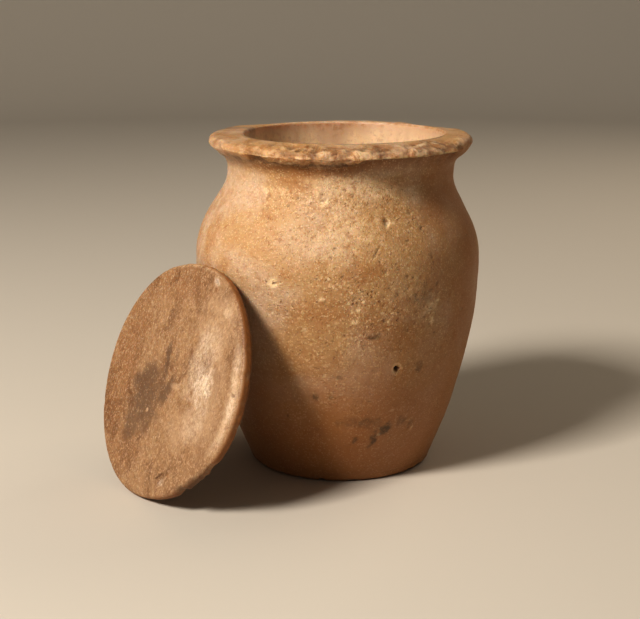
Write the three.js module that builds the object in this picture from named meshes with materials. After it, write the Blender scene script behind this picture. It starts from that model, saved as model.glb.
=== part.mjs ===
// A lidded alabaster vase: a hollowed stone jar with a high shoulder, a short neck and a flared lip that
// is broken away under its front, and its plain round lid. The lid is off: it stands on its edge to the
// left of the front and leans on the vase.
//
// Millimetres, +Z up. The origin is the middle of the foot's underside, where the vase meets the floor.
// -Y is the front and +X the right. A bearing is an angle round the vase in degrees, 0 at the front and
// growing to the right.
import * as THREE from "three";

// The vase's outside, stacked up from the floor.
const footRadius = 32.4;
const footEdgeRound = 2.4;
const bellyRadius = 51.4;
const bellyHeight = 74;
const bellyFullness = 1.82; // 1 is a straight cone from foot to belly, 2 a full curve
const shoulderHeight = 32;
const shoulderFullness = 1.4; // 1 falls in evenly, more keeps the shoulder high before it falls
const neckRadius = 40.6;
const neckHeight = 2;

// The flared lip.
const lipRadius = 46.7;
const lipHeight = 12;
const lipCurl = 1.45; // how late and how sharply the lip's underside turns out
const lipTopRound = 2;

// The hollow.
const bodyWall = 6.5;
const neckWall = 4.4;
const mouthFlare = 0.5;
const mouthEdgeRound = 0.9;
const floorThickness = 10;
const hollowFloorRound = 14;

// The vase was ground a little out of true: between foot and neck its axis swings to the left, and so
// does the lip's outside.
const bodySwing = -1.2;
const lipSwing = -0.4;

// Where the lip has broken. A scar runs between two bearings and fades over the angles fadeIn and
// fadeOut. undercut is added to the lip's curl, so less of the lip's height is left, and setBack is
// how far the lip's face has gone.
const lipScars = [
  { from: 3, to: 64, fadeIn: 20, fadeOut: 11, undercut: 1.9, setBack: 0.5 },
  { from: -49, to: -31, fadeIn: 6, fadeOut: 7, undercut: 1.1, setBack: 1.6 },
  { from: -34, to: -15, fadeIn: 6, fadeOut: 6, undercut: 0.4, setBack: 0.9 },
  { from: 112, to: 142, fadeIn: 9, fadeOut: 12, undercut: 1.2, setBack: 0.6 },
  { from: 206, to: 234, fadeIn: 11, fadeOut: 8, undercut: 0.8, setBack: 0.8 },
];

// The lid, a flat disc with worn edges and a faintly domed face, wide enough to cover the mouth.
const lidOverlap = 5.4;
const lidThickness = 3.6;
const lidEdgeRound = 1.3;
const lidDome = 0.4;

// The lid was cut by hand, so its outline swells in a few slow waves, and bites are out of its rim.
// turn is the angle round its face in degrees, 0 at the right and 90 at the top.
const lidWaves = [
  { lobes: 2, turn: -9, height: 0.62 },
  { lobes: 3, turn: 0, height: 0.42 },
  { lobes: 4, turn: -22, height: 0.35 },
];
const lidBites = [
  { turn: -30, halfWidth: 6, depth: 1.5 },
  { turn: -41, halfWidth: 9, depth: 0.7 },
  { turn: -51, halfWidth: 5, depth: 1.1 },
  { turn: 74, halfWidth: 5, depth: 0.5 },
];

// How the lid stands: which way it faces, how far it leans back, how far it is off the line from the
// vase's middle, and its gap to the vase.
const lidBearing = -54.3;
const lidLean = 21.3;
const lidSideways = -3.2;
const restGap = 0.3;

// The stone of each piece.
const vaseStone = { color: "#c8965c", roughness: 0.55, metalness: 0 };
const lidStone = { color: "#a67c55", roughness: 0.5, metalness: 0 };

// How finely the curves are cut.
const vaseSegments = 96;
const lidSegments = 60;
const bodyRings = 6;
const shoulderRings = 7;
const lipRings = 7;
const hollowRings = 5;
const hollowFloorRings = 5;
const lidFaceRings = 5;
const edgeRings = 3;
const slideHalvings = 40;

const lerp = THREE.MathUtils.lerp;
const radians = THREE.MathUtils.degToRad;
const degrees = THREE.MathUtils.radToDeg;
const ease = (from, to, value) => THREE.MathUtils.smoothstep(value, from, to);
const quarterTurn = Math.PI / 2;

// Heights and radii that follow from the sizes above.
const shoulderTop = bellyHeight + shoulderHeight;
const lipBase = shoulderTop + neckHeight;
const vaseTop = lipBase + lipHeight;
const lipWidest = vaseTop - lipTopRound;
const mouthRadius = neckRadius - neckWall + mouthFlare;
const lidRadius = mouthRadius + lidOverlap;

// The vase's outer radius at a height, with its lip curled by so much: foot to belly, belly to neck,
// neck to lip.
function outerRadius(z, curl = lipCurl) {
  if (z <= bellyHeight) {
    const toBelly = 1 - z / bellyHeight;
    return lerp(bellyRadius, footRadius, toBelly ** bellyFullness);
  }
  if (z <= lipBase) {
    const toNeck = Math.min((z - bellyHeight) / shoulderHeight, 1);
    return lerp(bellyRadius, neckRadius, ease(0, 1, toNeck ** shoulderFullness));
  }
  const toLip = Math.min((z - lipBase) / (lipWidest - lipBase), 1);
  return lerp(neckRadius, lipRadius, ease(0, 1, toLip ** curl));
}

// The hollow's radius at a height: it follows the body inside the wall, and its floor is a bowl.
function hollowRadius(z) {
  const wall = lerp(bodyWall, neckWall, ease(bellyHeight, shoulderTop, z));
  const toWall = Math.min((z - floorThickness) / hollowFloorRound, 1);
  return (outerRadius(Math.min(z, shoulderTop)) - wall) * Math.sqrt(1 - (1 - toWall) ** 2);
}

// How far the vase's axis has swung to the side at a height: most at the belly, and back at the neck.
function swing(z) {
  return bodySwing * ease(0, bellyHeight, z) * (1 - ease(bellyHeight + shoulderHeight / 2, lipBase, z));
}

// The same for the outside, which swings out again at the lip.
function outsideSwing(z) {
  return swing(z) + lipSwing * ease(lipBase, lipWidest, z);
}

// How strongly a scar acts at a bearing, from 0 to 1.
function scarStrength(scar, bearing) {
  const along = THREE.MathUtils.euclideanModulo(bearing - scar.from, 360);
  const length = scar.to - scar.from;
  if (along > length) return 0;
  return Math.min(ease(0, scar.fadeIn, along), ease(0, scar.fadeOut, length - along));
}

// The outer radius with the scars taken out of the lip.
function scarredRadius(z, bearing) {
  let undercut = 0;
  let setBack = 0;
  for (const scar of lipScars) {
    const strength = scarStrength(scar, bearing);
    undercut = Math.max(undercut, scar.undercut * strength);
    setBack = Math.max(setBack, scar.setBack * strength);
  }
  const onLip = ease(lipBase, lipWidest, z);
  return outerRadius(z, lipCurl + undercut) - setBack * onLip;
}

// The points between two ends of a rounded edge. It leaves the first end along the radius where
// radiusFirst is true, and along the height where it isn't.
function roundedEdge(start, end, radiusFirst) {
  const points = [];
  for (let i = 1; i < edgeRings; i++) {
    const angle = (i / edgeRings) * quarterTurn;
    const early = Math.sin(angle);
    const late = 1 - Math.cos(angle);
    const [alongRadius, alongHeight] = radiusFirst ? [early, late] : [late, early];
    points.push(at(lerp(start.x, end.x, alongRadius), lerp(start.y, end.y, alongHeight)));
  }
  return points;
}

function at(radius, height) {
  return new THREE.Vector2(radius, height);
}

// Points up the outside from one height to another, leaving out the first.
function outsideRings(from, to, rings) {
  const points = [];
  for (let i = 1; i <= rings; i++) {
    const z = lerp(from, to, i / rings);
    points.push(at(outerRadius(z), z));
  }
  return points;
}

// The outside's section, from the middle of the underside to the flat top of the lip.
function outsideSection() {
  const footSide = at(outerRadius(footEdgeRound), footEdgeRound);
  const footUnder = at(footSide.x - footEdgeRound, 0);
  const lipSide = at(lipRadius, lipWidest);
  const lipTop = at(lipRadius - lipTopRound, vaseTop);
  return [
    at(0, 0),
    footUnder,
    ...roundedEdge(footUnder, footSide, true),
    footSide,
    ...outsideRings(footEdgeRound, bellyHeight, bodyRings),
    ...outsideRings(bellyHeight, shoulderTop, shoulderRings),
    ...outsideRings(shoulderTop, lipBase, 1),
    ...outsideRings(lipBase, lipWidest, lipRings),
    ...roundedEdge(lipSide, lipTop, false),
    lipTop,
  ];
}

// The hollow's section, from the mouth's edge down to the middle of the floor.
function hollowSection() {
  const mouthTop = at(mouthRadius + mouthEdgeRound, vaseTop);
  const mouthSide = at(mouthRadius, vaseTop - mouthEdgeRound);
  const points = [mouthTop, ...roundedEdge(mouthTop, mouthSide, true), mouthSide];
  for (let i = 0; i <= hollowRings; i++) {
    const z = lerp(shoulderTop, floorThickness + hollowFloorRound, i / hollowRings);
    points.push(at(hollowRadius(z), z));
  }
  for (let i = 1; i < hollowFloorRings; i++) {
    const angle = (i / hollowFloorRings) * quarterTurn;
    const z = floorThickness + hollowFloorRound * (1 - Math.sin(angle));
    points.push(at(hollowRadius(z), z));
  }
  return [...points, at(0, floorThickness)];
}

// A section turned about the upright axis, with its first cut at the front.
function turned(section, segments) {
  return new THREE.LatheGeometry(section, segments).rotateX(quarterTurn);
}

function alabaster(name, geometry, stone) {
  geometry.computeVertexNormals();
  const mesh = new THREE.Mesh(geometry, new THREE.MeshStandardMaterial(stone));
  mesh.name = name;
  return mesh;
}

function vaseBody() {
  const outside = outsideSection();
  const section = [...outside, ...hollowSection()];
  const geometry = turned(section, vaseSegments);
  const position = geometry.getAttribute("position");
  for (let i = 0; i < position.count; i++) {
    const x = position.getX(i);
    const y = position.getY(i);
    const z = position.getZ(i);
    const isOutside = i % section.length < outside.length;
    const height = Math.min(z, lipWidest);
    const kept = isOutside ? scarredRadius(height, degrees(Math.atan2(x, -y))) / outerRadius(height) : 1;
    position.setXY(i, x * kept + (isOutside ? outsideSwing(z) : swing(z)), y * kept);
  }
  return alabaster("vase", geometry, vaseStone);
}

// The lid's section, from the middle of its underside round its worn edge to the middle of its face.
function lidSection() {
  const faceRadius = lidRadius - lidEdgeRound;
  const under = [];
  const face = [];
  for (let i = 0; i <= lidFaceRings; i++) {
    const share = i / lidFaceRings;
    under.push(at(faceRadius * share, 0));
    face.unshift(at(faceRadius * share, lidThickness + lidDome * (1 - share ** 2)));
  }
  const edgeLow = at(lidRadius, lidEdgeRound);
  const edgeHigh = at(lidRadius, lidThickness - lidEdgeRound);
  return [
    ...under,
    ...roundedEdge(under.at(-1), edgeLow, true),
    edgeLow,
    edgeHigh,
    ...roundedEdge(edgeHigh, face[0], false),
    ...face,
  ];
}

// The lid's radius at a turn, as a share of a true round's.
function lidShare(turn) {
  let swollen = 0;
  for (const wave of lidWaves) {
    swollen += wave.height * Math.cos(radians(wave.lobes * (turn - wave.turn)));
  }
  let bitten = 0;
  for (const bite of lidBites) {
    const away = Math.abs(THREE.MathUtils.euclideanModulo(turn - bite.turn + 180, 360) - 180);
    bitten = Math.max(bitten, bite.depth * (1 - ease(0, bite.halfWidth, away)));
  }
  return 1 + (swollen - bitten) / lidRadius;
}

function lidDisc() {
  const geometry = turned(lidSection(), lidSegments);
  const position = geometry.getAttribute("position");
  for (let i = 0; i < position.count; i++) {
    const x = position.getX(i);
    const y = position.getY(i);
    const share = lidShare(degrees(Math.atan2(y, x)));
    position.setXY(i, x * share, y * share);
  }
  return alabaster("lid", geometry, lidStone);
}

// The smallest level gap between some points and the vase's outside.
function gapToVase(points) {
  let gap = Infinity;
  for (const { x, y, z } of points) {
    if (z > vaseTop) continue;
    gap = Math.min(gap, Math.hypot(x - outsideSwing(z), y) - outerRadius(Math.min(z, lipWidest)));
  }
  return gap;
}

// Stands the lid on the floor, turned and leaned back, and slides it in until it rests on the vase.
function leaningLid() {
  const lid = lidDisc();
  const facing = new THREE.Group();
  facing.add(lid);
  facing.rotation.z = radians(lidBearing);
  lid.rotation.x = radians(90 - lidLean);

  const position = lid.geometry.getAttribute("position");
  const cornersAt = (distance) => {
    lid.position.set(lidSideways, -distance, lid.position.z);
    facing.updateMatrixWorld(true);
    const corners = [];
    for (let i = 0; i < position.count; i++) {
      corners.push(new THREE.Vector3().fromBufferAttribute(position, i).applyMatrix4(lid.matrixWorld));
    }
    return corners;
  };
  lid.position.z = -Math.min(...cornersAt(0).map((corner) => corner.z));

  let tooNear = 0;
  let clear = bellyRadius + lipRadius + 2 * lidRadius;
  for (let i = 0; i < slideHalvings; i++) {
    const middle = (tooNear + clear) / 2;
    if (gapToVase(cornersAt(middle)) < restGap) tooNear = middle;
    else clear = middle;
  }
  cornersAt(clear);
  return facing;
}

const liddedVase = new THREE.Group();
liddedVase.add(vaseBody(), leaningLid());

export default liddedVase;
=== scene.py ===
"""A lidded alabaster vase: an old stone jar with a chipped lip, and its flat lid leaning on it.

Each piece is spun from its section and then worked over in code, as hands and years would: ground a
little uneven, pitted, chipped and stained. What was cut away and what was stained, and where shade and
light are painted into the stone's colour, is kept on the mesh as attributes, and the stone's material
reads them. Lengths are metres and angles degrees, unless a name says otherwise. A bearing is an angle
round the vase, 0 at the front (-Y) and growing to the right (+X). A turn is an angle round the lid's
face, 0 at its right and 90 at its top.
"""

import math

import bmesh
import bpy
import numpy as np
from bpy.props import FloatProperty, FloatVectorProperty, PointerProperty
from bpy.types import Operator, Panel, PropertyGroup
from mathutils import Matrix, Vector


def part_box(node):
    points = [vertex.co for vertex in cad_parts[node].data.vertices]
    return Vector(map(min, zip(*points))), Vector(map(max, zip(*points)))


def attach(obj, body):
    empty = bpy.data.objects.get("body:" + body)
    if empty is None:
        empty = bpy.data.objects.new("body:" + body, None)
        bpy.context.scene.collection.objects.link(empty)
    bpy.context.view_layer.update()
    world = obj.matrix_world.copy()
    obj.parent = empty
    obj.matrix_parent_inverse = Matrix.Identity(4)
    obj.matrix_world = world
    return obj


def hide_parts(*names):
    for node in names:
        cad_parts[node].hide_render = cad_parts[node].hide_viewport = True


bl_info = {
    "name": "Lidded alabaster vase",
    "version": (1, 0, 0),
    "blender": (4, 5, 0),
    "location": "3D View > Sidebar > Vase",
    "description": "Makes an old alabaster jar with its lid leaning on it, and a plain studio round them",
    "category": "Object",
}

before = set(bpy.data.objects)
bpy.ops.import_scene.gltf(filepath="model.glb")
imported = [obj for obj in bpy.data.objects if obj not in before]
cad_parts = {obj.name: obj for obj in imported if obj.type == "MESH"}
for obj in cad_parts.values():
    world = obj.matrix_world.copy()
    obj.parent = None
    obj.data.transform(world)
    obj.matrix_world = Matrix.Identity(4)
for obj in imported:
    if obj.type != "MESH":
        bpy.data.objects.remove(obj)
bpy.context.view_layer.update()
MM = 0.001


# Sizes and colours that a user would change.


def length(name, description, default):
    """A size in metres."""
    return FloatProperty(name=name, description=description, default=default, min=0.0,
                         unit="LENGTH", subtype="DISTANCE", precision=5)


def share(name, description, default):
    """A plain number."""
    return FloatProperty(name=name, description=description, default=default, precision=3)


def colour(name, description, default):
    """A linear colour."""
    return FloatVectorProperty(name=name, description=description, default=default, size=3,
                               min=0.0, max=1.0, subtype="COLOR")


class VaseShape(PropertyGroup):
    """The vase's sizes, as the frame has them."""

    foot_radius: length("Foot radius", "Radius that the body narrows to at the floor", 0.0324)
    foot_round: length("Foot round", "Wear that rounds the foot's edge", 0.0024)
    belly_radius: length("Belly radius", "Radius at the widest of the body", 0.0514)
    belly_height: length("Belly height", "Height of the widest of the body", 0.074)
    belly_fullness: share("Belly fullness", "1 is a straight cone from foot to belly", 1.82)
    shoulder_height: length("Shoulder height", "Rise from the belly to the neck", 0.032)
    shoulder_fullness: share("Shoulder fullness", "More keeps the shoulder high before it falls", 1.4)
    neck_radius: length("Neck radius", "Radius at the narrowest of the neck", 0.0406)
    neck_height: length("Neck height", "Straight stretch of neck under the lip", 0.002)
    lip_radius: length("Lip radius", "Radius at the widest of the lip", 0.0467)
    lip_height: length("Lip height", "Rise from the neck to the top", 0.012)
    lip_curl: share("Lip curl", "How late and how sharply the lip's underside turns out", 1.45)
    lip_round: length("Lip round", "Rounding of the lip's upper edge", 0.002)
    body_wall: length("Body wall", "Wall below the shoulder", 0.0065)
    neck_wall: length("Neck wall", "Wall at the neck", 0.0044)
    mouth_flare: length("Mouth flare", "How far the mouth opens above the neck", 0.0005)
    mouth_round: length("Mouth round", "Rounding of the mouth's edge", 0.0009)
    floor_thickness: length("Floor thickness", "Stone left under the hollow", 0.01)
    floor_round: length("Floor round", "Height of the hollow's bowl-shaped floor", 0.014)

    @property
    def neck_top(self):
        """Height where the lip starts to turn out."""
        return self.belly_height + self.shoulder_height + self.neck_height

    @property
    def height(self):
        """Height of the lip's flat top."""
        return self.neck_top + self.lip_height

    @property
    def lip_widest(self):
        """Height where the lip is widest."""
        return self.height - self.lip_round

    @property
    def mouth_radius(self):
        """Radius of the mouth."""
        return self.neck_radius - self.neck_wall + self.mouth_flare


class LidShape(PropertyGroup):
    """The lid's sizes and how it stands."""

    overlap: length("Overlap", "How far the lid reaches past the mouth", 0.0054)
    thickness: length("Thickness", "Thickness at the edge", 0.0036)
    edge_round: length("Edge round", "Wear that rounds the edge", 0.0013)
    dome: length("Dome", "How much the face rises to its middle", 0.0004)
    bearing: share("Bearing", "Which way the lid faces, in degrees", -54.3)
    lean: share("Lean", "How far the lid leans back, in degrees", 21.3)


class StoneColours(PropertyGroup):
    """The stone's own colours and what has stained it."""

    honey: colour("Honey", "The vase's stone", (0.49, 0.312, 0.155))
    rosy: colour("Rosy", "Paler, pinker clouds in the vase's stone", (0.56, 0.41, 0.285))
    # Amber also paints shade: low on the vase's front, on its right side, on the scar under the lip, round
    # the lid's edge and on the lid's left.
    amber: colour("Amber", "Deeper bands and stains", (0.34, 0.135, 0.028))
    # Crystal also paints light under the lip's front and on the far wall's shaded left.
    crystal: colour("Crystal", "Whitish crystal where the stone is chipped", (0.82, 0.64, 0.42))
    # Earth is soil in pits, and also painted shade under the broken lip, on its scar and round the lid's
    # edge.
    earth_and_shade: colour("Earth", "Soil left in pits and scars", (0.10, 0.042, 0.014))
    # Mineral also serves as painted shade in the pinhole and along the mouth's near edge.
    mineral: colour("Mineral", "Dark grey mineral stains", (0.060, 0.040, 0.018))
    # Hollow is partly the inside's own paler stone and partly painted light, for light shining through the
    # wall.
    hollow: colour("Hollow", "The paler stone inside the mouth", (0.72, 0.54, 0.38))
    lid_tan: colour("Lid tan", "The lid's stone", (0.335, 0.205, 0.108))
    # Lid pale also paints the highlight along the right rim.
    lid_pale: colour("Lid pale", "Pale fibres and polish in the lid", (0.58, 0.42, 0.28))
    # Lid brown also paints shade on the lid's left.
    lid_brown: colour("Lid brown", "Brown fibres in the lid", (0.175, 0.082, 0.032))
    # Glare is a painted highlight: the lamp's sheen on the lid's polished streaks.
    glare: colour("Glare", "Whitish polish on the lid", (0.80, 0.68, 0.56))
    lid_grey: colour("Lid grey", "The lid's grey-brown stain", (0.135, 0.076, 0.042))


class StudioSetting(PropertyGroup):
    """The plain studio: floor, light and camera."""

    floor: colour("Floor", "Colour of the pale floor", (0.60, 0.56, 0.50))
    sky: share("Sky", "Strength of the even light from all round", 0.19)
    key: share("Key", "Power of the light at the upper left, in watts", 23.5)
    fill: share("Fill", "Power of the light behind the right side, in watts", 2.8)
    contrast: share("Contrast", "Less than 1 deepens the shade, as a photograph's film does", 0.75)
    lens: share("Lens", "Focal length of the camera in millimetres", 76.5)
    camera_height: length("Camera height", "How high the camera stands", 0.1720)
    camera_distance: length("Camera distance", "How far the camera stands from the vase's axis", 0.4863)
    camera_left: length("Camera left", "How far the camera stands to the left of the axis", 0.0075)
    camera_tilt: share("Camera tilt", "How far the camera looks down, in degrees", 13.55)


# Numbers that work on whole grids of points.


def ease(start, end, value):
    """0 before start, 1 past end and a smooth rise between them."""
    along = np.clip((value - start) / (end - start), 0.0, 1.0)
    return along * along * (3.0 - 2.0 * along)


def between(first, last, part):
    """The value at part of the way from first to last."""
    return first + (last - first) * part


def wrapped(angle):
    """The same angle between -180 and 180."""
    return (angle + 180.0) % 360.0 - 180.0


# The noise's own grid and the curve that blends from one of its points to the next.
LATTICE = 32
FADE = (6.0, -15.0, 10.0)


def lumps(points, size, seed):
    """Smooth noise from -1 to 1 at the points, with lumps about size across. A seed gives one pattern."""
    heights = np.random.default_rng(seed).uniform(-1.0, 1.0, (LATTICE,) * 3)
    scaled = points / size
    cell = np.floor(scaled).astype(int)
    within = scaled - cell
    fade = within**3 * (FADE[0] * within**2 + FADE[1] * within + FADE[2])
    total = 0.0
    for corner in np.ndindex(2, 2, 2):
        at_corner = (cell + corner) % LATTICE
        weight = np.prod(np.where(np.array(corner), fade, 1.0 - fade), axis=-1)
        total = total + weight * heights[at_corner[..., 0], at_corner[..., 1], at_corner[..., 2]]
    return total


def mixed(points, *layers):
    """Lumps upon lumps: each layer's size in millimetres, its seed and its share."""
    return sum(lumps(points, size * MM, seed) * part for size, seed, part in layers)


def crags(points, size, seed):
    """Sharp-edged noise from 0 to 1: creased valleys and crests, as on broken stone."""
    coarse = 1.0 - np.abs(lumps(points, size, seed))
    fine = 1.0 - np.abs(lumps(points, size / 2.3, seed + 1))
    return coarse**2 * 0.65 + fine**2 * 0.35


# Spinning a piece and working its surface.


# How deep under or how proud of its surroundings a point lies where those masks are full, and how far
# out in its oval a stain ends.
SUNK_FULL = 0.22 * MM
PROUD_FULL = 0.16 * MM
STAIN_END = 1.3


class Surface:
    """The surface of a spun piece as a grid: a row for each point of its section and a column for
    each step of its spin."""

    def __init__(self, section, parts, columns, crowding=0.0):
        self.parts = np.array(parts)[:, None]
        self.spun_radius, self.spun_height = section.T[:, :, None]
        self.columns = columns
        even = wrapped(np.arange(columns) * 360.0 / columns)[None, :]
        self.angle = even - np.degrees(crowding * np.sin(np.radians(even)))
        along = np.gradient(section, axis=0)
        along /= np.maximum(np.linalg.norm(along, axis=1, keepdims=True), 1e-12)
        self.out_radius, self.out_height = along[:, 1:2], -along[:, 0:1]
        self.radius = np.repeat(self.spun_radius, columns, axis=1)
        self.height = np.repeat(self.spun_height, columns, axis=1)
        self.cut = np.zeros_like(self.radius)
        self.masks = {}

    def is_part(self, *parts):
        """1 on the rows of those parts of the section and 0 elsewhere."""
        return np.isin(self.parts, parts).astype(float)

    def carry(self, name, values):
        """Adds to one of the masks that the material reads, each from 0 to 1."""
        before = self.masks.get(name, np.zeros_like(self.radius))
        self.masks[name] = np.clip(np.maximum(before, values), 0.0, 1.0)

    def stain(self, stains, out_of, wander, where, start=0.1):
        """Carries every stain of a table. out_of gives how far out the points lie in a stain's oval."""
        for mask, places in stains.items():
            for *place, strength in places:
                inside = 1.0 - ease(start, STAIN_END, out_of(*place) + wander)
                self.carry(mask, strength * inside * where)

    def dent(self, out, depth, where, wobble=0.0):
        """Cuts a bowl where the points lie inside an oval, its edge shaken by wobble."""
        bowl = np.clip(1.0 - out - wobble * np.minimum(out, 1.0), 0.0, 1.0)
        self.cut = np.maximum(self.cut, depth * bowl * where)

    def ways(self):
        """Which way each column faces: +X and +Y shares. The first column faces -Y."""
        angle = np.radians(self.angle)
        return np.sin(angle), -np.cos(angle)

    def points(self):
        """The points as spun, before anything was cut, for noise to read."""
        x, y = self.ways()
        tall = np.broadcast_to(self.spun_height, self.radius.shape)
        return np.stack([self.spun_radius * x, self.spun_radius * y, tall], axis=-1)

    def finished(self):
        """The points with the cuts made."""
        radius = self.radius - self.cut * self.out_radius
        height = self.height - self.cut * self.out_height
        x, y = self.ways()
        return np.stack([radius * x, radius * y, height], axis=-1)

    def keep_hollows(self, reach):
        """Finds what lies deeper than its surroundings, where soil stays, and what stands proud."""
        around = self.cut.copy()
        for _ in range(reach):
            beside = np.roll(around, 1, axis=1) + np.roll(around, -1, axis=1)
            above = np.vstack([around[1:], around[-1:]])
            below = np.vstack([around[:1], around[:-1]])
            around = (around * 2.0 + beside + above + below) / 6.0
        deeper = self.cut - around
        self.carry("sunk", deeper / SUNK_FULL)
        self.carry("proud", -deeper / PROUD_FULL)


def oval(across, up, width, tall, lean=0.0):
    """How far out points lie in an oval round a place: 0 in its middle and 1 on its edge. across and
    up are the points' distances from that place, and lean turns the oval, in degrees."""
    angle = math.radians(lean)
    along = across * math.cos(angle) + up * math.sin(angle)
    aside = up * math.cos(angle) - across * math.sin(angle)
    return (along / (width / 2)) ** 2 + (aside / (tall / 2)) ** 2


def spun_object(name, section, steps):
    """An object whose mesh is a section spun right round with bmesh. Each point keeps its row."""
    bm = bmesh.new()
    row_layer = bm.verts.layers.int.new("row")
    chain = []
    for row, (radius, height) in enumerate(section):
        vert = bm.verts.new((0.0, -radius, height))
        vert[row_layer] = row
        chain.append(vert)
    edges = [bm.edges.new(pair) for pair in zip(chain, chain[1:])]
    bmesh.ops.spin(bm, geom=chain + edges, cent=(0, 0, 0), axis=(0, 0, 1), dvec=(0, 0, 0),
                   angle=math.tau, steps=steps, use_merge=True)
    bmesh.ops.remove_doubles(bm, verts=bm.verts, dist=MM / 1000)
    bmesh.ops.recalc_face_normals(bm, faces=bm.faces)
    mesh = bpy.data.meshes.new(name)
    bm.to_mesh(mesh)
    bm.free()
    mesh.polygons.foreach_set("use_smooth", np.ones(len(mesh.polygons), bool))
    piece = bpy.data.objects.new(name, mesh)
    bpy.context.scene.collection.objects.link(piece)
    return piece


def places_of(mesh):
    """Where a mesh's points are, a row for each."""
    place = np.empty(len(mesh.vertices) * 3)
    mesh.vertices.foreach_get("co", place)
    return place.reshape(-1, 3)


def worked_object(name, surface):
    """Spins a surface's section, moves each point to its finished place and hangs the masks on it."""
    piece = spun_object(name, zip(surface.spun_radius[:, 0], surface.spun_height[:, 0]), surface.columns)
    mesh = piece.data
    place = places_of(mesh)
    row = np.empty(len(place), int)
    mesh.attributes["row"].data.foreach_get("value", row)
    angle = np.degrees(np.arctan2(place[:, 0], -place[:, 1]))
    column = np.round(angle * surface.columns / 360.0).astype(int) % surface.columns
    mesh.vertices.foreach_set("co", surface.finished()[row, column].ravel())
    mesh.attributes.remove(mesh.attributes["row"])
    for mask, values in surface.masks.items():
        attribute = mesh.attributes.new(mask, "FLOAT", "POINT")
        attribute.data.foreach_set("value", values[row, column])
    mesh.update()
    return piece


# The vase.


# The parts of the section, the columns of the spin and how they crowd to the front, and the rows of
# points that each stretch of the section has.
UNDERSIDE, BODY, LIP, TOP, HOLLOW = range(5)
VASE_COLUMNS = 384
VASE_CROWDING = 0.42
UNDER_ROWS = 5
FOOT_ROWS = 6
BODY_ROWS = 148
LIP_ROWS = 36
LIP_ROUND_ROWS = 8
TOP_ROWS = 15
MOUTH_ROWS = 4
HOLLOW_ROWS = 22
BOWL_ROWS = 9
# How far to the side the body and the lip were ground.
BODY_SWING = -1.2 * MM
LIP_SWING = -0.4 * MM


def outer_radius(shape, height):
    """The vase's outer radius at a height: foot to belly, belly to neck, neck to lip."""
    to_belly = np.clip(1.0 - height / shape.belly_height, 0.0, 1.0) ** shape.belly_fullness
    lower = between(shape.belly_radius, shape.foot_radius, to_belly)
    to_neck = np.clip((height - shape.belly_height) / shape.shoulder_height, 0.0, 1.0)
    upper = between(shape.belly_radius, shape.neck_radius, ease(0, 1, to_neck**shape.shoulder_fullness))
    to_lip = np.clip((height - shape.neck_top) / (shape.lip_widest - shape.neck_top), 0.0, 1.0)
    lip = between(shape.neck_radius, shape.lip_radius, ease(0, 1, to_lip**shape.lip_curl))
    body = np.where(height <= shape.belly_height, lower, upper)
    return np.where(height <= shape.neck_top, body, lip)


def hollow_radius(shape, height):
    """The hollow's radius at a height: the body's less its wall, with a bowl for a floor."""
    shoulder_top = shape.belly_height + shape.shoulder_height
    wall = between(shape.body_wall, shape.neck_wall, ease(shape.belly_height, shoulder_top, height))
    body = outer_radius(shape, np.minimum(height, shoulder_top)) - wall
    in_bowl = 1.0 - np.clip((height - shape.floor_thickness) / shape.floor_round, 0.0, 1.0)
    mouth = shape.mouth_flare * ease(shoulder_top, shape.height, height)
    return body * np.sqrt(1.0 - in_bowl**2) + mouth


def swing(shape, height):
    """How far the axis was ground to the side at a height, most at the belly."""
    rise = ease(0.0, shape.belly_height, height)
    back = ease(shape.belly_height + shape.shoulder_height / 2, shape.neck_top, height)
    return BODY_SWING * rise * (1.0 - back)


def vase_section(shape):
    """The section from the middle of the underside, up the outside, over the lip and down the hollow
    to the middle of its floor: each point's radius and height, and the part it is on."""
    radii, heights, parts = [], [], []

    def add(part, radius, height):
        radius, height = np.broadcast_arrays(radius, height)
        radii.extend(radius)
        heights.extend(height)
        parts.extend([part] * len(radius))

    def steps(rows):
        return np.arange(rows) / rows

    def quarter(rows):
        angle = steps(rows) * math.pi / 2
        return np.sin(angle), 1.0 - np.cos(angle)

    foot_under = outer_radius(shape, shape.foot_round) - shape.foot_round
    lip_inner = shape.lip_radius - shape.lip_round
    mouth_outer = shape.mouth_radius + shape.mouth_round
    mouth_low = shape.height - shape.mouth_round
    bowl_top = shape.floor_thickness + shape.floor_round

    add(UNDERSIDE, foot_under * steps(UNDER_ROWS), 0.0)
    early, late = quarter(FOOT_ROWS)
    add(BODY, foot_under + shape.foot_round * early, shape.foot_round * late)
    height = between(shape.foot_round, shape.neck_top, steps(BODY_ROWS))
    add(BODY, outer_radius(shape, height), height)
    height = between(shape.neck_top, shape.lip_widest, steps(LIP_ROWS))
    add(LIP, outer_radius(shape, height), height)
    early, late = quarter(LIP_ROUND_ROWS)
    add(TOP, between(shape.lip_radius, lip_inner, late), between(shape.lip_widest, shape.height, early))
    add(TOP, between(lip_inner, mouth_outer, steps(TOP_ROWS)), shape.height)
    early, late = quarter(MOUTH_ROWS)
    add(TOP, between(mouth_outer, shape.mouth_radius, early), between(shape.height, mouth_low, late))
    height = between(mouth_low, bowl_top, steps(HOLLOW_ROWS))
    add(HOLLOW, hollow_radius(shape, height), height)
    early, _ = quarter(BOWL_ROWS)
    height = bowl_top - shape.floor_round * early
    add(HOLLOW, hollow_radius(shape, height), height)
    add(HOLLOW, np.zeros(1), shape.floor_thickness)
    return np.stack([radii, heights], axis=1), parts


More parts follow.
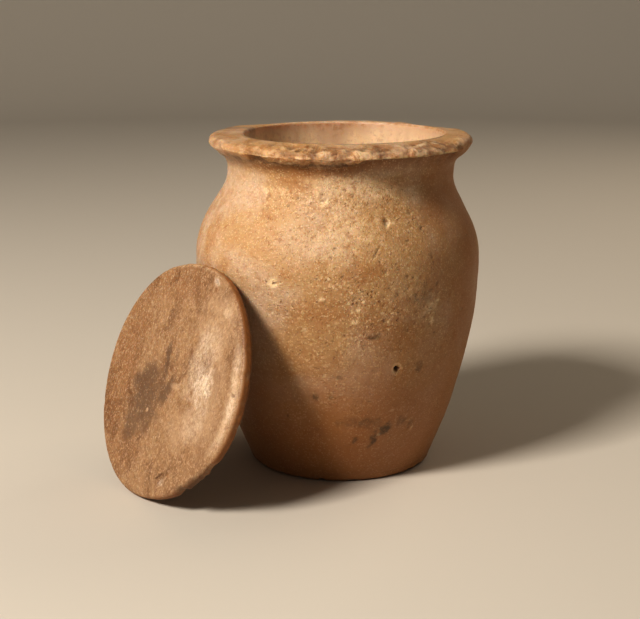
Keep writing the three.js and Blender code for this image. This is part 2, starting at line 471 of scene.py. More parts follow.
# How the lip has broken, station by station round the vase: the bearing; how high over the neck the
# break's lower edge is; how far the face above it is set back; how far the scar below it has come out
# from the neck at that edge; and how fully the lip is broken there.
LIP_BREAKS = (
    (-180, 5.0, 0.3, 2.0, 0.0), (-152, 6.0, 0.6, 2.4, 0.3), (-136, 6.6, 0.6, 2.6, 0.3),
    (-122, 5.0, 0.1, 2.0, 0.0), (-90, 5.0, 0.0, 2.0, 0.15), (-62, 5.0, 0.0, 2.0, 0.4),
    (-47, 5.2, 0.9, 2.4, 0.5), (-34, 5.0, 1.2, 2.2, 0.8), (-22, 4.5, 1.0, 1.8, 0.95),
    (-12, 4.6, 0.8, 1.9, 1.0), (2, 4.9, 0.6, 1.9, 1.0), (7, 6.0, 0.4, 2.0, 1.0),
    (15, 8.1, 0.2, 2.6, 1.0), (22, 9.3, 0.3, 3.3, 1.0), (38, 9.4, 0.4, 3.6, 1.0),
    (52, 9.0, 0.4, 3.5, 1.0), (58, 7.6, 0.2, 3.0, 0.9), (65, 5.6, 0.0, 2.4, 0.4),
    (72, 5.0, -0.2, 2.2, 0.0), (110, 5.0, 0.0, 2.0, 0.0), (122, 6.8, 0.6, 2.6, 0.35),
    (136, 6.8, 0.6, 2.6, 0.35), (146, 5.0, 0.2, 2.0, 0.0), (180, 5.0, 0.3, 2.0, 0.0),
)
# How soft and how ragged the break's lower edge is, how far its face leans back, how much of the top
# is worn away outwards where the lip is whole and where it is broken, and how late the scar sweeps out.
BREAK_SOFTNESS = 0.5 * MM
BREAK_RAGGED = 0.45 * MM
FACE_LEAN = 2.6 * MM
TOP_WEAR = 0.5 * MM
BROKEN_TOP_WEAR = 2.3 * MM
WEAR_POWER = 1.6
SCAR_SWEEP_POWER = 1.7


def break_lip(vase, shape):
    """Breaks the lip: a ragged face, and under it a scar that sweeps down into the neck, with painted shade
    below the face.
    """
    stations = np.array(LIP_BREAKS)
    bearing = vase.angle
    edge, set_back, sweep = (np.interp(bearing, stations[:, 0], stations[:, k]) * MM for k in (1, 2, 3))
    broken = np.interp(bearing, stations[:, 0], stations[:, 4])
    points = vase.points()
    ragged = mixed(points, (3.1, 11, 0.6), (1.3, 12, 0.4))
    edge = edge + BREAK_RAGGED * ragged
    over_neck = vase.spun_height - shape.neck_top
    tall = shape.lip_widest - shape.neck_top

    own = vase.spun_radius
    face = shape.lip_radius - set_back - FACE_LEAN * (1.0 - ease(edge, tall, over_neck))
    out = np.clip(over_neck / edge, 0.0, 1.0) ** SCAR_SWEEP_POWER
    scar = shape.neck_radius + sweep * out - lumps(points, 5.0 * MM, 22) * 0.12 * MM
    above = ease(edge - BREAK_SOFTNESS, edge + BREAK_SOFTNESS, over_neck)
    on_lip = vase.is_part(LIP)
    vase.radius = between(vase.radius, between(own, between(scar, face, above), broken), on_lip)

    mouth_outer = shape.mouth_radius + shape.mouth_round
    outward = np.clip((own - mouth_outer) / (shape.lip_radius - mouth_outer), 0.0, 1.0)
    outward = outward * vase.is_part(TOP)
    up_face = np.clip((over_neck - edge) / (tall - edge), 0.0, 1.0) * on_lip
    vase.radius -= ease(0.0, 1.0, outward) * set_back
    worn = between(TOP_WEAR, BROKEN_TOP_WEAR, broken)
    vase.height -= worn * (outward**WEAR_POWER + up_face)

    torn = broken * (on_lip * above + ease(0.0, 0.4, outward))
    deep = mixed(points, (5.2, 21, 0.55), (2.4, 25, 0.3)) + crags(points, 6.5 * MM, 23) * 0.75
    vase.cut += torn * deep * MM
    vase.carry("sunk", torn * ease(0.45, 1.1, deep) * 0.8)
    vase.carry("proud", torn * ease(-0.35, 0.35, -deep))
    vase.carry("broken", torn)
    vase.carry("scar", on_lip * (1.0 - above) * broken * ease(0.0, edge * 0.9, over_neck))
    # Painted shade: the lower part of the broken face and the neck just under its lower edge are darkened,
    # where the lip's overhang shades them.
    vase.carry("shade", torn * on_lip * (1.0 - ease(0.0, 2.6 * MM, over_neck - edge)))
    shade = ease(-3.0 * MM, 0.0, over_neck - edge) * (1.0 - above)
    vase.carry("soiled", vase.is_part(LIP, BODY) * shade * broken * 0.35)


# Marks cut or struck in the vase: the bearing, the height, how wide and tall, how deep, and the lean.
VASE_MARKS = (
    (19.8, 94.8, 2.6, 3.0, 0.65, 0), (-8.6, 101.9, 3.6, 2.6, 0.35, 10), (14.4, 85.8, 6.5, 1.1, 0.4, 52),
    (12.5, 56.8, 5.5, 1.2, 0.25, 8), (-24.4, 75.1, 3.2, 2.0, 0.3, 20), (37.1, 64.4, 4.5, 6.0, 0.3, 70),
    (-39.5, 115.4, 9.5, 4.6, 1.2, 4), (-30.0, 114.2, 4.0, 2.4, 0.5, 0), (32.0, 97.0, 2.2, 1.4, 0.35, 0),
    (36.0, 92.0, 2.6, 1.5, 0.35, 20), (28.0, 88.6, 2.6, 1.8, 0.35, 0), (24.6, 43.7, 3.0, 3.2, 0.35, 0),
    (12.8, 33.2, 3.0, 0.9, 0.22, 15), (23.3, 28.6, 2.6, 0.9, 0.2, 20), (-6.6, 42.9, 2.0, 1.3, 0.2, 0),
    (-13.2, 59.2, 3.0, 1.2, 0.25, 10),
)
# The pinhole: its bearing, height, width, how tall and how deep, then its lean and how sheer its rim is.
PINHOLE = (23.6, 44.7, 1.7, 2.3, 2.6)
PINHOLE_LEAN = 60
PINHOLE_RIM = 1.15
# Fields of small pits: the middle's bearing and height, the spread in degrees and height, how many.
PIT_FIELDS = (
    (0.0, 62.0, 180.0, 60.0, 200), (12.0, 69.0, 16.0, 9.0, 70), (4.0, 72.0, 14.0, 6.0, 40),
    (-15.0, 100.0, 18.0, 6.0, 36), (37.0, 64.0, 7.0, 6.0, 24), (34.0, 92.0, 12.0, 9.0, 26),
)
# A pit's width before it is raised to a power, which leaves more small ones, and scaled; its height for
# a width of 1; its depth; and the heights that pits lie between.
PIT_SIZES = (0.7, 2.1)
PIT_SPREAD_POWER = 1.5
PIT_SCALE = 1.3
PIT_TALL = (0.6, 1.3)
PIT_DEPTHS = (0.08, 0.30)
PITS_BETWEEN = (3.0, 106.0)


def vase_oval(vase, bearing, height, wide, tall, lean=0.0):
    """How far out the points lie in an oval on the vase, its height and sizes in millimetres."""
    across = np.radians(wrapped(vase.angle - bearing)) * vase.spun_radius
    return oval(across, vase.spun_height - height * MM, wide * MM, tall * MM, lean)


def pit_vase(vase):
    """Cuts the named marks, the pinhole and fields of small pits into the outside."""
    outside = vase.is_part(BODY, LIP)
    wobble = lumps(vase.points(), 1.1 * MM, 31) * 0.35

    def cut(bearing, height, wide, tall, depth, lean):
        out = vase_oval(vase, bearing, height, wide, tall, lean)
        vase.dent(out, depth * MM, outside, wobble)

    for mark in VASE_MARKS:
        cut(*mark)

    *place, depth = PINHOLE
    hole = np.clip(PINHOLE_RIM - vase_oval(vase, *place, PINHOLE_LEAN), 0.0, 1.0) ** 0.5
    vase.cut = np.maximum(vase.cut, depth * MM * hole * outside)
    # The pinhole's mask also paints its shade: the hole is coloured dark as well as cut.
    vase.carry("hole", hole * outside)

    random = np.random.default_rng(7)
    for bearing, height, spread, rise, count in PIT_FIELDS:
        everywhere = spread >= 90
        bearings = random.uniform(-180, 180, count) if everywhere else random.normal(bearing, spread, count)
        heights = random.normal(height, rise, count)
        for place, at_height in zip(bearings, heights):
            wide = random.uniform(*PIT_SIZES) ** PIT_SPREAD_POWER / PIT_SCALE
            tall = wide * random.uniform(*PIT_TALL)
            depth = random.uniform(*PIT_DEPTHS)
            lean = random.uniform(0, 180)
            if PITS_BETWEEN[0] < at_height < PITS_BETWEEN[1]:
                cut(place, at_height, wide, tall, depth, lean)


# Where the hand that ground the vase went too deep or left it full: the bearing, the height, the
# degrees and height it covers, and how deep.
VASE_HAND = (
    (78, 102.0, 34, 9.0, 0.55), (80, 36.0, 40, 26.0, 0.45), (74, 114.0, 22, 5.0, -0.75),
    (-72, 60.0, 50, 30.0, 0.15), (-150, 80.0, 60, 40.0, 0.35), (150, 40.0, 60, 40.0, 0.3),
)
# Where the mouth's edge was left thick: its bearing, the degrees it covers and how much it stands in.
MOUTH_LEFT = (-90, 34, 2.3 * MM)


def skin_roughness(vase):
    """How far weather has opened the grain of the outside, from 0 to 1."""
    field = lumps(vase.points(), 9 * MM, 91) * 0.5 + 0.5
    cluster = np.exp(-vase_oval(vase, 12, 66, 46, 34))
    below_lip = np.exp(-vase_oval(vase, -4, 103, 60, 16))
    return np.clip(field * 0.55 + cluster * 0.6 + below_lip * 0.5, 0.0, 1.0) * vase.is_part(BODY, LIP)


def front_share(vase):
    """1 where the front of the vase shows, falling to 0.45 behind."""
    return 1.0 - 0.55 * ease(85, 140, np.abs(wrapped(vase.angle - 5)))


def grind_vase(vase, shape):
    """Leaves the vase as uneven as its grinding by hand, and weathers its skin."""
    points = vase.points()
    outside = vase.is_part(BODY)
    tall = vase.spun_height
    vase.cut += skin_roughness(vase) * (crags(points, 1.9 * MM, 45) - 0.5) * 0.12 * MM
    slow = mixed(points, (26, 41, 0.22), (11, 42, 0.09))
    worn = mixed(points, (4.2, 43, 0.05), (2.0, 44, 0.035))
    vase.cut += (slow + worn) * MM * outside * ease(0.0, 3 * MM, tall)

    for bearing, height, spread, rise, depth in VASE_HAND:
        aside = (wrapped(vase.angle - bearing) / spread) ** 2
        above = ((tall - height * MM) / (rise * MM)) ** 2
        vase.cut += depth * MM * np.exp(-(aside + above) * 2) * vase.is_part(BODY, LIP)

    lip = vase.is_part(LIP, TOP) * ease(shape.neck_radius, shape.neck_radius + 4 * MM, vase.radius)
    lumpy = mixed(points, (6.0, 51, 0.24), (2.4, 52, 0.16), (1.2, 53, 0.07))
    vase.cut += lumpy * MM * lip * between(1.0, 0.4, ease(80, 115, np.abs(vase.angle)))

    bearing, spread, depth = MOUTH_LEFT
    thick = depth * np.exp(-((wrapped(vase.angle - bearing) / spread) ** 2))
    at_mouth = ease(shape.height - 13 * MM, shape.height - 2 * MM, tall) * vase.is_part(TOP, HOLLOW)
    beyond = ease(shape.mouth_radius, shape.lip_radius - 3 * MM, vase.spun_radius) * vase.is_part(TOP)
    vase.radius -= thick * at_mouth * (1.0 - beyond)
    ground = lumps(points, 14 * MM, 61) * 0.15 * MM
    vase.cut += ground * vase.is_part(HOLLOW) * ease(10 * MM, 20 * MM, tall)

    chips = np.clip(lumps(points, 3.5 * MM, 71) - 0.5, 0.0, 1.0) * 1.2 * MM
    vase.cut += chips * outside * (1.0 - ease(1.0 * MM, 4.0 * MM, tall))


# Stains on the vase and in its hollow, with some painted shade and light, by mask: the bearing, the height,
# how wide and tall, how strong.
VASE_STAINS = {
    "mineral": (
        (20.5, 21.5, 7, 4, 1.0), (23.5, 22.8, 3, 3, 0.8), (16.0, 17.5, 3.6, 4.4, 0.9),
        (14.0, 15.0, 2.4, 3, 0.6), (13.5, 24.5, 9, 5, 0.5), (-10.5, 35.4, 2.4, 2.8, 0.7),
        (-4.2, 35.0, 1.8, 1.6, 0.5), (6.9, 17.9, 2.4, 3.4, 0.7), (4.0, 25.0, 8, 4, 0.35),
        (34.5, 44.5, 3, 5, 0.5), (13.5, 57.2, 5, 2.4, 0.7), (33.0, 70.0, 9, 9, 0.35),
        (30.0, 24.0, 4, 4, 0.5), (36.0, 22.5, 3, 3, 0.5), (158.0, 30.0, 5, 4, 0.7),
        (-150.0, 54.0, 3, 3, 0.5),
    ),
    "amber": (
        (-20.4, 107.5, 14, 9, 0.6), (-39.5, 115.8, 11, 6, 1.0), (-66.0, 86.3, 16, 30, 0.5),
        (-84.0, 84.0, 22, 40, 0.6), (32.0, 107.5, 30, 5, 0.6), (8.0, 79.0, 16, 8, 0.6),
        (20.0, 60.0, 26, 20, 0.6), (-8.0, 66.0, 30, 10, 0.45), (10.0, 30.0, 50, 40, 0.35),
        (24.4, 45.0, 5, 4.4, 0.9), (55.5, 52.9, 4.0, 4.0, 0.9),
    ),
    # The first darkens the deep hollow in the lip's left break, the second a spot low on the front.
    "soiled": (
        (-39.5, 115.2, 7, 3.0, 0.5), (-0.4, 42.7, 2.0, 1.4, 0.6),
    ),
    "pale": (
        (-33.0, 118.6, 26, 2.6, 1.0), (-25.0, 114.8, 11, 3.0, 0.8), (20.8, 94.6, 4, 3.4, 0.9),
        (-7.8, 101.6, 4.5, 3.5, 0.8), (-24.4, 74.9, 5.5, 2.6, 1.0), (37.1, 64.4, 6, 8, 0.6),
        (-2.0, 86.0, 18, 12, 0.35), (5.0, 92.0, 20, 14, 0.45), (-38.0, 103.5, 7, 3, 0.55),
        # The pale patch at bearing 4 and height 106.5 is painted light that lifts the shade under the lip's
        # front.
        (-28.0, 104.0, 7, 3, 0.6), (4.0, 106.5, 34, 8, 0.55), (6.2, 66.2, 3.0, 2.0, 1.0),
        (5.9, 62.7, 2.6, 2.0, 1.0), (-6.0, 70.7, 3.4, 1.8, 1.0), (-1.2, 62.4, 2.4, 1.6, 0.9),
        (38.6, 60.3, 2.6, 1.8, 1.0), (40.4, 67.5, 2.4, 1.8, 1.0), (-25.2, 75.7, 3.0, 1.6, 1.0),
        (12.8, 33.6, 2.8, 1.2, 0.8), (23.3, 28.9, 2.4, 1.2, 0.7), (-2.2, 33.9, 2.0, 1.2, 0.6),
        (-6.6, 43.3, 2.2, 1.6, 0.7), (18.6, 19.7, 1.3, 1.3, 0.9), (37.1, 20.1, 1.4, 1.2, 0.6),
        (-13.2, 59.7, 3.4, 1.8, 0.7), (168.0, 60.0, 44, 18, 0.65), (120.0, 88.0, 30, 14, 0.6),
        (-128.0, 66.0, 34, 16, 0.65), (-165.0, 92.0, 24, 10, 0.4), (138.0, 40.0, 30, 12, 0.4),
    ),
    "open": (
        (-2.0, 76.0, 15, 8, 0.7), (8.0, 70.0, 14, 9, 1.0), (16.0, 64.0, 16, 10, 1.0),
        (22.0, 60.0, 10, 8, 0.8), (37.0, 64.4, 8, 10, 1.0), (-15.0, 101.0, 22, 8, 0.5),
        (3.0, 100.0, 26, 8, 0.4), (-24.0, 75.0, 9, 5, 0.8), (30.0, 93.0, 14, 12, 0.6),
        (16.0, 86.0, 12, 8, 0.5), (-22.0, 67.0, 22, 12, 0.5), (4.0, 55.0, 22, 8, 0.5),
        (-10.0, 50.0, 26, 12, 0.45), (-4.0, 36.0, 24, 14, 0.3), (150.0, 72.0, 36, 18, 0.7),
        (-142.0, 84.0, 34, 14, 0.6), (108.0, 52.0, 28, 20, 0.7), (-172.0, 42.0, 30, 14, 0.6),
        (-108.0, 60.0, 26, 22, 0.5),
    ),
}
HOLLOW_STAINS = {
    "pale": (
        (-155.0, 112.0, 22, 7, 1.0), (155.0, 111.0, 34, 11, 1.0), (120.0, 112.0, 24, 10, 0.7),
        # The patch at bearing -128 is partly painted light that lifts the far wall's shaded left side.
        (-128.0, 113.0, 26, 9, 0.9),
    ),
    "amber": (
        (178.0, 114.0, 18, 9, 0.5), (-165.0, 118.0, 70, 5, 0.8),
    ),
}


def stain_vase(vase, shape):
    """Marks where the vase is stained, where its skin is rough and where the hollow's stone shows, and
    paints shade on the low front, the right side and at the mouth.
    """
    points = vase.points()
    outside = vase.is_part(BODY, LIP)
    top = vase.is_part(TOP)
    hollow = vase.is_part(HOLLOW)
    wander = mixed(points, (5.0, 81, 0.35), (1.8, 82, 0.3))
    flaky = mixed(points, (1.3, 83, 0.8))
    aside = np.abs(vase.angle)

    def out_of(*place):
        return vase_oval(vase, *place)

    vase.stain(VASE_STAINS, out_of, wander + flaky, outside)
    vase.stain(HOLLOW_STAINS, out_of, wander, hollow)
    vase.carry("amber", 0.8 * top * ease(-0.35, 0.4, wander) * ease(35, 75, aside))
    mouth_low = shape.height - 7 * MM
    mouth_band = hollow * ease(mouth_low, mouth_low + 6 * MM, vase.spun_height + wander * 4 * MM)
    vase.carry("amber", mouth_band * between(0.35, 0.6, ease(-160, -120, -np.abs(vase.angle + 20))))
    # Painted shade at the mouth's left corner, where the inner wall is turned from the light.
    left_corner = vase_oval(vase, -112, shape.height / MM - 1, 9, 6)
    vase.carry("soiled", 0.6 * (1.0 - ease(0.1, 1.2, left_corner + wander)) * (top + hollow))

    # Painted shade: a thin dark line along the mouth's near edge, where the inner edge lies in shadow, kept
    # in the pinhole's mask.
    from_mouth = vase.spun_radius - shape.mouth_radius
    mouth_edge = 1.0 - ease(shape.mouth_round, shape.mouth_round + 1.4 * MM, from_mouth + wander * MM)
    vase.carry("hole", mouth_edge * (1.0 - ease(65, 95, aside)) * top * 0.4)
    vase.carry("rough", skin_roughness(vase))
    vase.carry("hollow", hollow)
    # Painted shade: the low front and the right side, turned from the light, are deepened to amber. Behind,
    # the deeper clouds are the stone's own tone.
    cloudy = mixed(points, (17, 84, 0.5), (8, 85, 0.3))
    low = (1.0 - ease(6 * MM, 82 * MM, vase.spun_height + cloudy * 16 * MM)) * front_share(vase)
    right = ease(25, 72, vase.angle + cloudy * 24) * (1.0 - ease(82, 125, vase.angle + cloudy * 40))
    behind = ease(0.05, 0.6, cloudy) * (1.0 - front_share(vase)) * 0.6
    vase.carry("deep", np.maximum(low + right * (1.0 - low), behind) * outside)


def carve_vase(shape):
    """The whole vase as one object."""
    section, parts = vase_section(shape)
    vase = Surface(section, parts, VASE_COLUMNS, VASE_CROWDING)
    break_lip(vase, shape)
    pit_vase(vase)
    grind_vase(vase, shape)
    stain_vase(vase, shape)
    vase.keep_hollows(reach=6)
    piece = worked_object("alabaster_jar", vase)

    place = places_of(piece.data)
    place[:, 0] += swing(shape, place[:, 2])
    beyond = np.hypot(place[:, 0], place[:, 1]) - shape.mouth_radius
    on_lip = ease(shape.neck_top, shape.lip_widest, place[:, 2]) * ease(0.0, MM, beyond)
    place[:, 0] += LIP_SWING * on_lip
    place[:, 2] = np.maximum(place[:, 2], 0.0)
    piece.data.vertices.foreach_set("co", place.ravel())
    piece.data.update()
    return piece


# The lid.


# The parts of the lid's section, the columns of its spin and the rows of each stretch.
LID_UNDER, LID_EDGE, LID_FACE = range(3)
LID_COLUMNS = 420
LID_UNDER_ROWS = 24
LID_ROUND_ROWS = 6
LID_SIDE_ROWS = 5
LID_FACE_ROWS = 92
# How the lid's outline swells: how many times round, the turn of a crest and how much.
LID_WAVES = ((2, -9, 0.62), (3, 0, 0.42), (4, -22, 0.35))
# Bites out of the lid's rim: the turn, half the degrees it covers and how deep.
LID_BITES = (
    (-30, 6, 1.1), (-36, 4, 0.9), (-41, 9, 0.8), (-51, 5, 1.3), (74, 5, 0.5), (15, 3, 0.5),
    (-8, 3, 0.45), (3, 2, 0.3), (118, 4, 0.25), (97, 34, 0.8),
)
# Marks in the lid's face: how far right and up from its middle, how wide and tall, how deep, the lean.
LID_MARKS = (
    (35.9, 18.4, 4.6, 5.4, 0.22, 0), (11.0, 37.5, 5.0, 2.6, 0.55, -35),
    (13.8, -33.5, 4.4, 3.2, 0.32, 40), (11.4, -32.0, 3.2, 0.8, 0.5, 42),
    (20.7, -22.4, 1.9, 1.9, 0.15, 0), (38.2, 3.6, 3.2, 2.2, 0.45, 0), (-3.5, 6.5, 1.6, 6.0, 0.1, 12),
    (28.5, 2.0, 3.0, 7.0, 0.08, 20),
)
# The small pits in the lid's face: how many, how wide and how deep.
LID_PITS = 130
LID_PIT_SIZES = (0.8, 1.8)
LID_PIT_DEPTHS = (0.05, 0.16)
# Stains on the lid's face, with its painted highlight and painted shade, by mask: how far right and up, how
# wide and tall, the lean, how strong.
LID_STAINS = {
    "grey": (
        (-10.5, -8.0, 24, 26, -20, 1.0), (-15.0, -19.0, 11, 14, 0, 0.8), (-3.5, 4.0, 4.0, 16, 12, 1.0),
        (1.5, -4.5, 5.0, 15, -14, 0.9), (1.0, 9.0, 3.0, 6, 0, 0.6), (35.9, 18.4, 4.6, 5.2, 0, 0.75),
    ),
    # Painted highlight: the lamp's sheen on the polished streaks.
    "glare": (
        (17.0, 10.0, 15, 32, -4, 0.5), (20.5, 3.0, 12, 16, -8, 1.0), (22.0, -8.0, 12, 20, -8, 0.3),
        (22.9, 28.6, 4.4, 4.4, 0, 0.22), (11.0, 37.5, 5.0, 2.4, -35, 1.0),
        (14.2, -34.0, 4.0, 2.6, 40, 0.55),
    ),
    # Pale fibres and polish, partly painted sheen on the face's right.
    "pale": (
        (27.0, -2.0, 16, 36, 0, 0.5), (16.0, -14.0, 18, 16, 0, 0.4), (20.0, 24.0, 28, 26, 0, 0.5),
        (22.9, 28.6, 5.4, 5.8, 0, 0.75), (11.0, 37.5, 6.5, 3.6, -35, 1.0), (18.0, 27.0, 18, 20, 0, 0.4),
        (-7.0, -12.8, 1.8, 1.8, 0, 1.0), (5.5, -1.5, 6.5, 2.6, 0, 0.6),
    ),
    # Painted shade: the lid's left, turned from the light, is darker and browner.
    "warm": (
        (-31.0, 2.0, 22, 62, 0, 0.75), (-12.0, 34.0, 40, 16, 0, 0.5), (-20.0, -30.0, 30, 18, 0, 0.5),
    ),
    "rosy": (
        (35.9, 18.4, 5.6, 6.4, 0, 1.0),
    ),
    "soiled": (
        (12.0, -32.2, 5.0, 1.0, 40, 1.0),
    ),
}


def lid_section(lid, radius):
    """The section from the middle of the underside, round the worn edge, to the middle of the face."""
    edge = lid.edge_round
    quarter = np.arange(LID_ROUND_ROWS) / LID_ROUND_ROWS * math.pi / 2
    early, late = np.sin(quarter), 1.0 - np.cos(quarter)
    under = (radius - edge) * np.arange(LID_UNDER_ROWS) / LID_UNDER_ROWS
    side = between(edge, lid.thickness - edge, np.arange(LID_SIDE_ROWS) / LID_SIDE_ROWS)
    face = (radius - edge) * (1.0 - np.arange(LID_FACE_ROWS + 1) / LID_FACE_ROWS)
    dome = lid.thickness + lid.dome * (1.0 - (face / (radius - edge)) ** 2)
    radii = [under, radius - edge + edge * early, side * 0 + radius, radius - edge * late, face]
    heights = [under * 0, edge * late, side, lid.thickness - edge + edge * early, dome]
    parts = [LID_UNDER, LID_EDGE, LID_EDGE, LID_EDGE, LID_FACE]
    section = np.stack([np.concatenate(radii), np.concatenate(heights)], axis=1)
    return section, np.repeat(parts, [len(part) for part in radii])


def carve_lid(lid, vase_shape):
    """The lid as one object, standing where the frame has it."""
    radius = vase_shape.mouth_radius + lid.overlap
    section, parts = lid_section(lid, radius)
    disc = Surface(section, parts, LID_COLUMNS)
    turn = wrapped(disc.angle - 90.0)
    points = disc.points()
    right, up = points[..., 0], points[..., 1]
    near_rim = disc.spun_radius / radius

    swollen = sum(height * np.cos(np.radians(lobes * (turn - lean))) for lobes, lean, height in LID_WAVES)
    bitten = 0.0
    ragged = mixed(points, (2.6, 101, 0.5), (1.1, 102, 0.3))
    for at_turn, half, depth in LID_BITES:
        beside = np.abs(wrapped(turn - at_turn)) / half
        bitten = np.maximum(bitten, depth * (1.0 - ease(0.0, 1.0, beside + ragged * 0.35)))
    nibbled = np.clip(lumps(points, 2.2 * MM, 103) - 0.25, 0.0, 1.0) * 0.5
    disc.radius = disc.spun_radius * (1.0 + swollen * MM / radius)
    disc.radius -= (bitten + nibbled) * MM * ease(0.82, 1.0, near_rim)
    disc.carry("broken", (bitten / 0.8 + nibbled) * ease(0.955, 0.99, near_rim))

    def out_of(x, y, wide, tall, lean=0.0):
        return oval(right - x * MM, up - y * MM, wide * MM, tall * MM, lean)

    on_face = disc.is_part(LID_FACE)
    wobble = mixed(points, (1.3, 111, 0.4))
    for x, y, wide, tall, depth, lean in LID_MARKS:
        disc.dent(out_of(x, y, wide, tall, lean), depth * MM, on_face, wobble)
    random = np.random.default_rng(17)
    for _ in range(LID_PITS):
        reach, way = radius / MM * math.sqrt(random.uniform()), random.uniform(0, math.tau)
        wide, depth = random.uniform(*LID_PIT_SIZES), random.uniform(*LID_PIT_DEPTHS)
        disc.dent(out_of(reach * math.cos(way), reach * math.sin(way), wide, wide), depth * MM, on_face)
    uneven = mixed(points, (22, 121, 0.12), (7, 122, 0.03), (2.4, 123, 0.012))
    disc.cut += uneven * MM * between(0.5, 1.0, disc.is_part(LID_FACE, LID_EDGE))

    wander = mixed(points, (5.0, 131, 0.4), (1.6, 132, 0.3))
    disc.stain(LID_STAINS, out_of, wander, on_face, start=0.15)
    # Painted highlight: a whitish strip just inside the right rim, where the lamp catches the worn edge.
    strip = np.exp(-(((near_rim - 0.92) / 0.05) ** 2)) * ease(-34, -6, turn) * (1.0 - ease(10, 36, turn))
    disc.carry("glare", strip * between(0.3, 0.8, ease(-0.3, 0.2, wander)) * on_face)
    disc.carry("pale", strip)
    # Painted shade and glow: the lid's edge all round is darkened to amber, for the side turned from the
    # light and lit from within.
    disc.carry("rim", disc.is_part(LID_EDGE) * ease(0.0, 1.0, 1.0 - disc.out_height))
    # The edge near turn -44 is darkened.
    notch = np.exp(-((wrapped(turn + 44) / 13) ** 2)) * ease(0.95, 0.99, near_rim)
    disc.carry("soiled", notch * 0.9)
    disc.keep_hollows(reach=6)
    piece = worked_object("alabaster_lid", disc)
    keep_flat_places(piece)
    stand_lid(piece, lid)
    return piece


def keep_flat_places(piece):
    """Keeps where each point lay before the lid was stood up, so that its grain follows the face."""
    attribute = piece.data.attributes.new("lying", "FLOAT_VECTOR", "POINT")
    attribute.data.foreach_set("vector", places_of(piece.data).ravel())


def stand_lid(piece, lid):
    """Leans the lid back, turns it, and moves it to where the frame's lid stands."""
    upright = Matrix.Rotation(math.radians(90.0 - lid.lean), 4, "X")
    facing = Matrix.Rotation(math.radians(lid.bearing), 4, "Z")
    piece.data.transform(facing @ upright)
    corners = places_of(piece.data)
    low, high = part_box("lid")
    middle = (low + high) / 2
    found = (corners.min(axis=0) + corners.max(axis=0)) / 2
    move = Vector((middle.x - found[0], middle.y - found[1], low.z - corners[:, 2].min()))
    piece.data.transform(Matrix.Translation(move))


# The stone's materials.


class Wire:
    """A socket in a material's nodes, so that sums of values are written as sums."""

    def __init__(self, tree, socket):
        self.tree = tree
        self.socket = socket

    def node(self, kind, settings=None, sockets=None, output=0):
        """Adds any other node: its settings first, then the values or wires of its sockets."""
        made = self.tree.nodes.new(kind)
        for name, value in (settings or {}).items():
            setattr(made, name, value)
        for name, value in (sockets or {}).items():
            if isinstance(value, Wire):
                self.tree.links.new(value.socket, made.inputs[name])
            else:
                made.inputs[name].default_value = value
        return Wire(self.tree, made.outputs[output]) if made.outputs else made

    def sum(self, operation, first, second):
        """Adds a Math node."""
        return self.node("ShaderNodeMath", {"operation": operation}, {0: first, 1: second})

    def __add__(self, other):
        return self.sum("ADD", self, other)

    __radd__ = __add__

    def __sub__(self, other):
        return self.sum("SUBTRACT", self, other)

    def __rsub__(self, other):
        return self.sum("SUBTRACT", other, self)

    def __mul__(self, other):
        return self.sum("MULTIPLY", self, other)

    __rmul__ = __mul__

    def rise(self, start, end):
        """0 where this is under start, 1 where it is over end and smooth between them."""
        return self.node("ShaderNodeMapRange", {"interpolation_type": "SMOOTHSTEP"},
                         {"Value": self, "From Min": start, "From Max": end})

    def noise(self, size, detail=2.0, roughness=0.5, warp=0.0):
        """Noise from 0 to 1 over this place, in lumps of about size."""
        return self.node("ShaderNodeTexNoise", None,
                         {"Vector": self, "Scale": 1.0 / size, "Detail": detail, "Roughness": roughness,
                          "Distortion": warp})

    def cells(self, size):
        """Grains of about size: how far a point is from its grain's middle, and the grain's own number."""
        near = self.node("ShaderNodeTexVoronoi", None, {"Vector": self, "Scale": 1.0 / size})
        own = Wire(self.tree, near.socket.node.outputs["Color"])
        return near, self.node("ShaderNodeSeparateColor", None, {"Color": own})

    def shaken(self, size, amount):
        """This place, shifted about by up to amount, in swirls of about size."""
        swirl = self.node("ShaderNodeTexNoise", None,
                          {"Vector": self, "Scale": 1.0 / size, "Detail": 1.0}, 1)
        shift = (2.0 * amount,) * 3
        return self.node("ShaderNodeVectorMath", {"operation": "MULTIPLY_ADD"},
                         {0: swirl, 1: shift, 2: self})

    def stretched(self, scale, turn=(0.0, 0.0, 0.0)):
        """This place, turned and scaled along each axis."""
        angles = tuple(math.radians(angle) for angle in turn)
        return self.node("ShaderNodeMapping", None, {"Vector": self, "Rotation": angles, "Scale": scale})

    def attribute(self, name, output=2):
        """A mask that the mesh carries."""
        return self.node("ShaderNodeAttribute", {"attribute_name": name}, None, output)

    def attributes(self, names):
        """Several masks, named in one line."""
        return (self.attribute(name) for name in names.split())

    def coloured(self, colours, ground, layers):
        """The ground colour with layers of others mixed in, in order: each a colour's name and its part."""
        base = plain(getattr(colours, ground))
        for name, part in layers:
            tint = plain(getattr(colours, name))
            base = self.node("ShaderNodeMix", {"data_type": "RGBA"}, {"Factor": part, 6: base, 7: tint}, 2)
        return base


def new_material(name):
    """An empty material, with a wire to start its nodes from."""
    material = bpy.data.materials.new(name)
    material.use_nodes = True
    material.node_tree.nodes.clear()
    return material, Wire(material.node_tree, None)


def plain(tint):
    """A colour with its alpha."""
    return (*tint, 1.0)


def finish_stone(start, base, roughness, height, bump_height, glow, depth):
    """Adds the stone's shader: a little light travels in it, as in all alabaster."""
    normal = start.node("ShaderNodeBump", None, {"Distance": bump_height, "Height": height})
    shader = start.node("ShaderNodeBsdfPrincipled", {"subsurface_method": "RANDOM_WALK"}, {
        "Base Color": base,
        "Roughness": roughness,
        "IOR": 1.5,
        "Subsurface Weight": glow,
        "Subsurface Radius": (1.0, 0.52, 0.22),
        "Subsurface Scale": depth,
        "Normal": normal,
    })
    start.node("ShaderNodeOutputMaterial", None, {"Surface": shader})


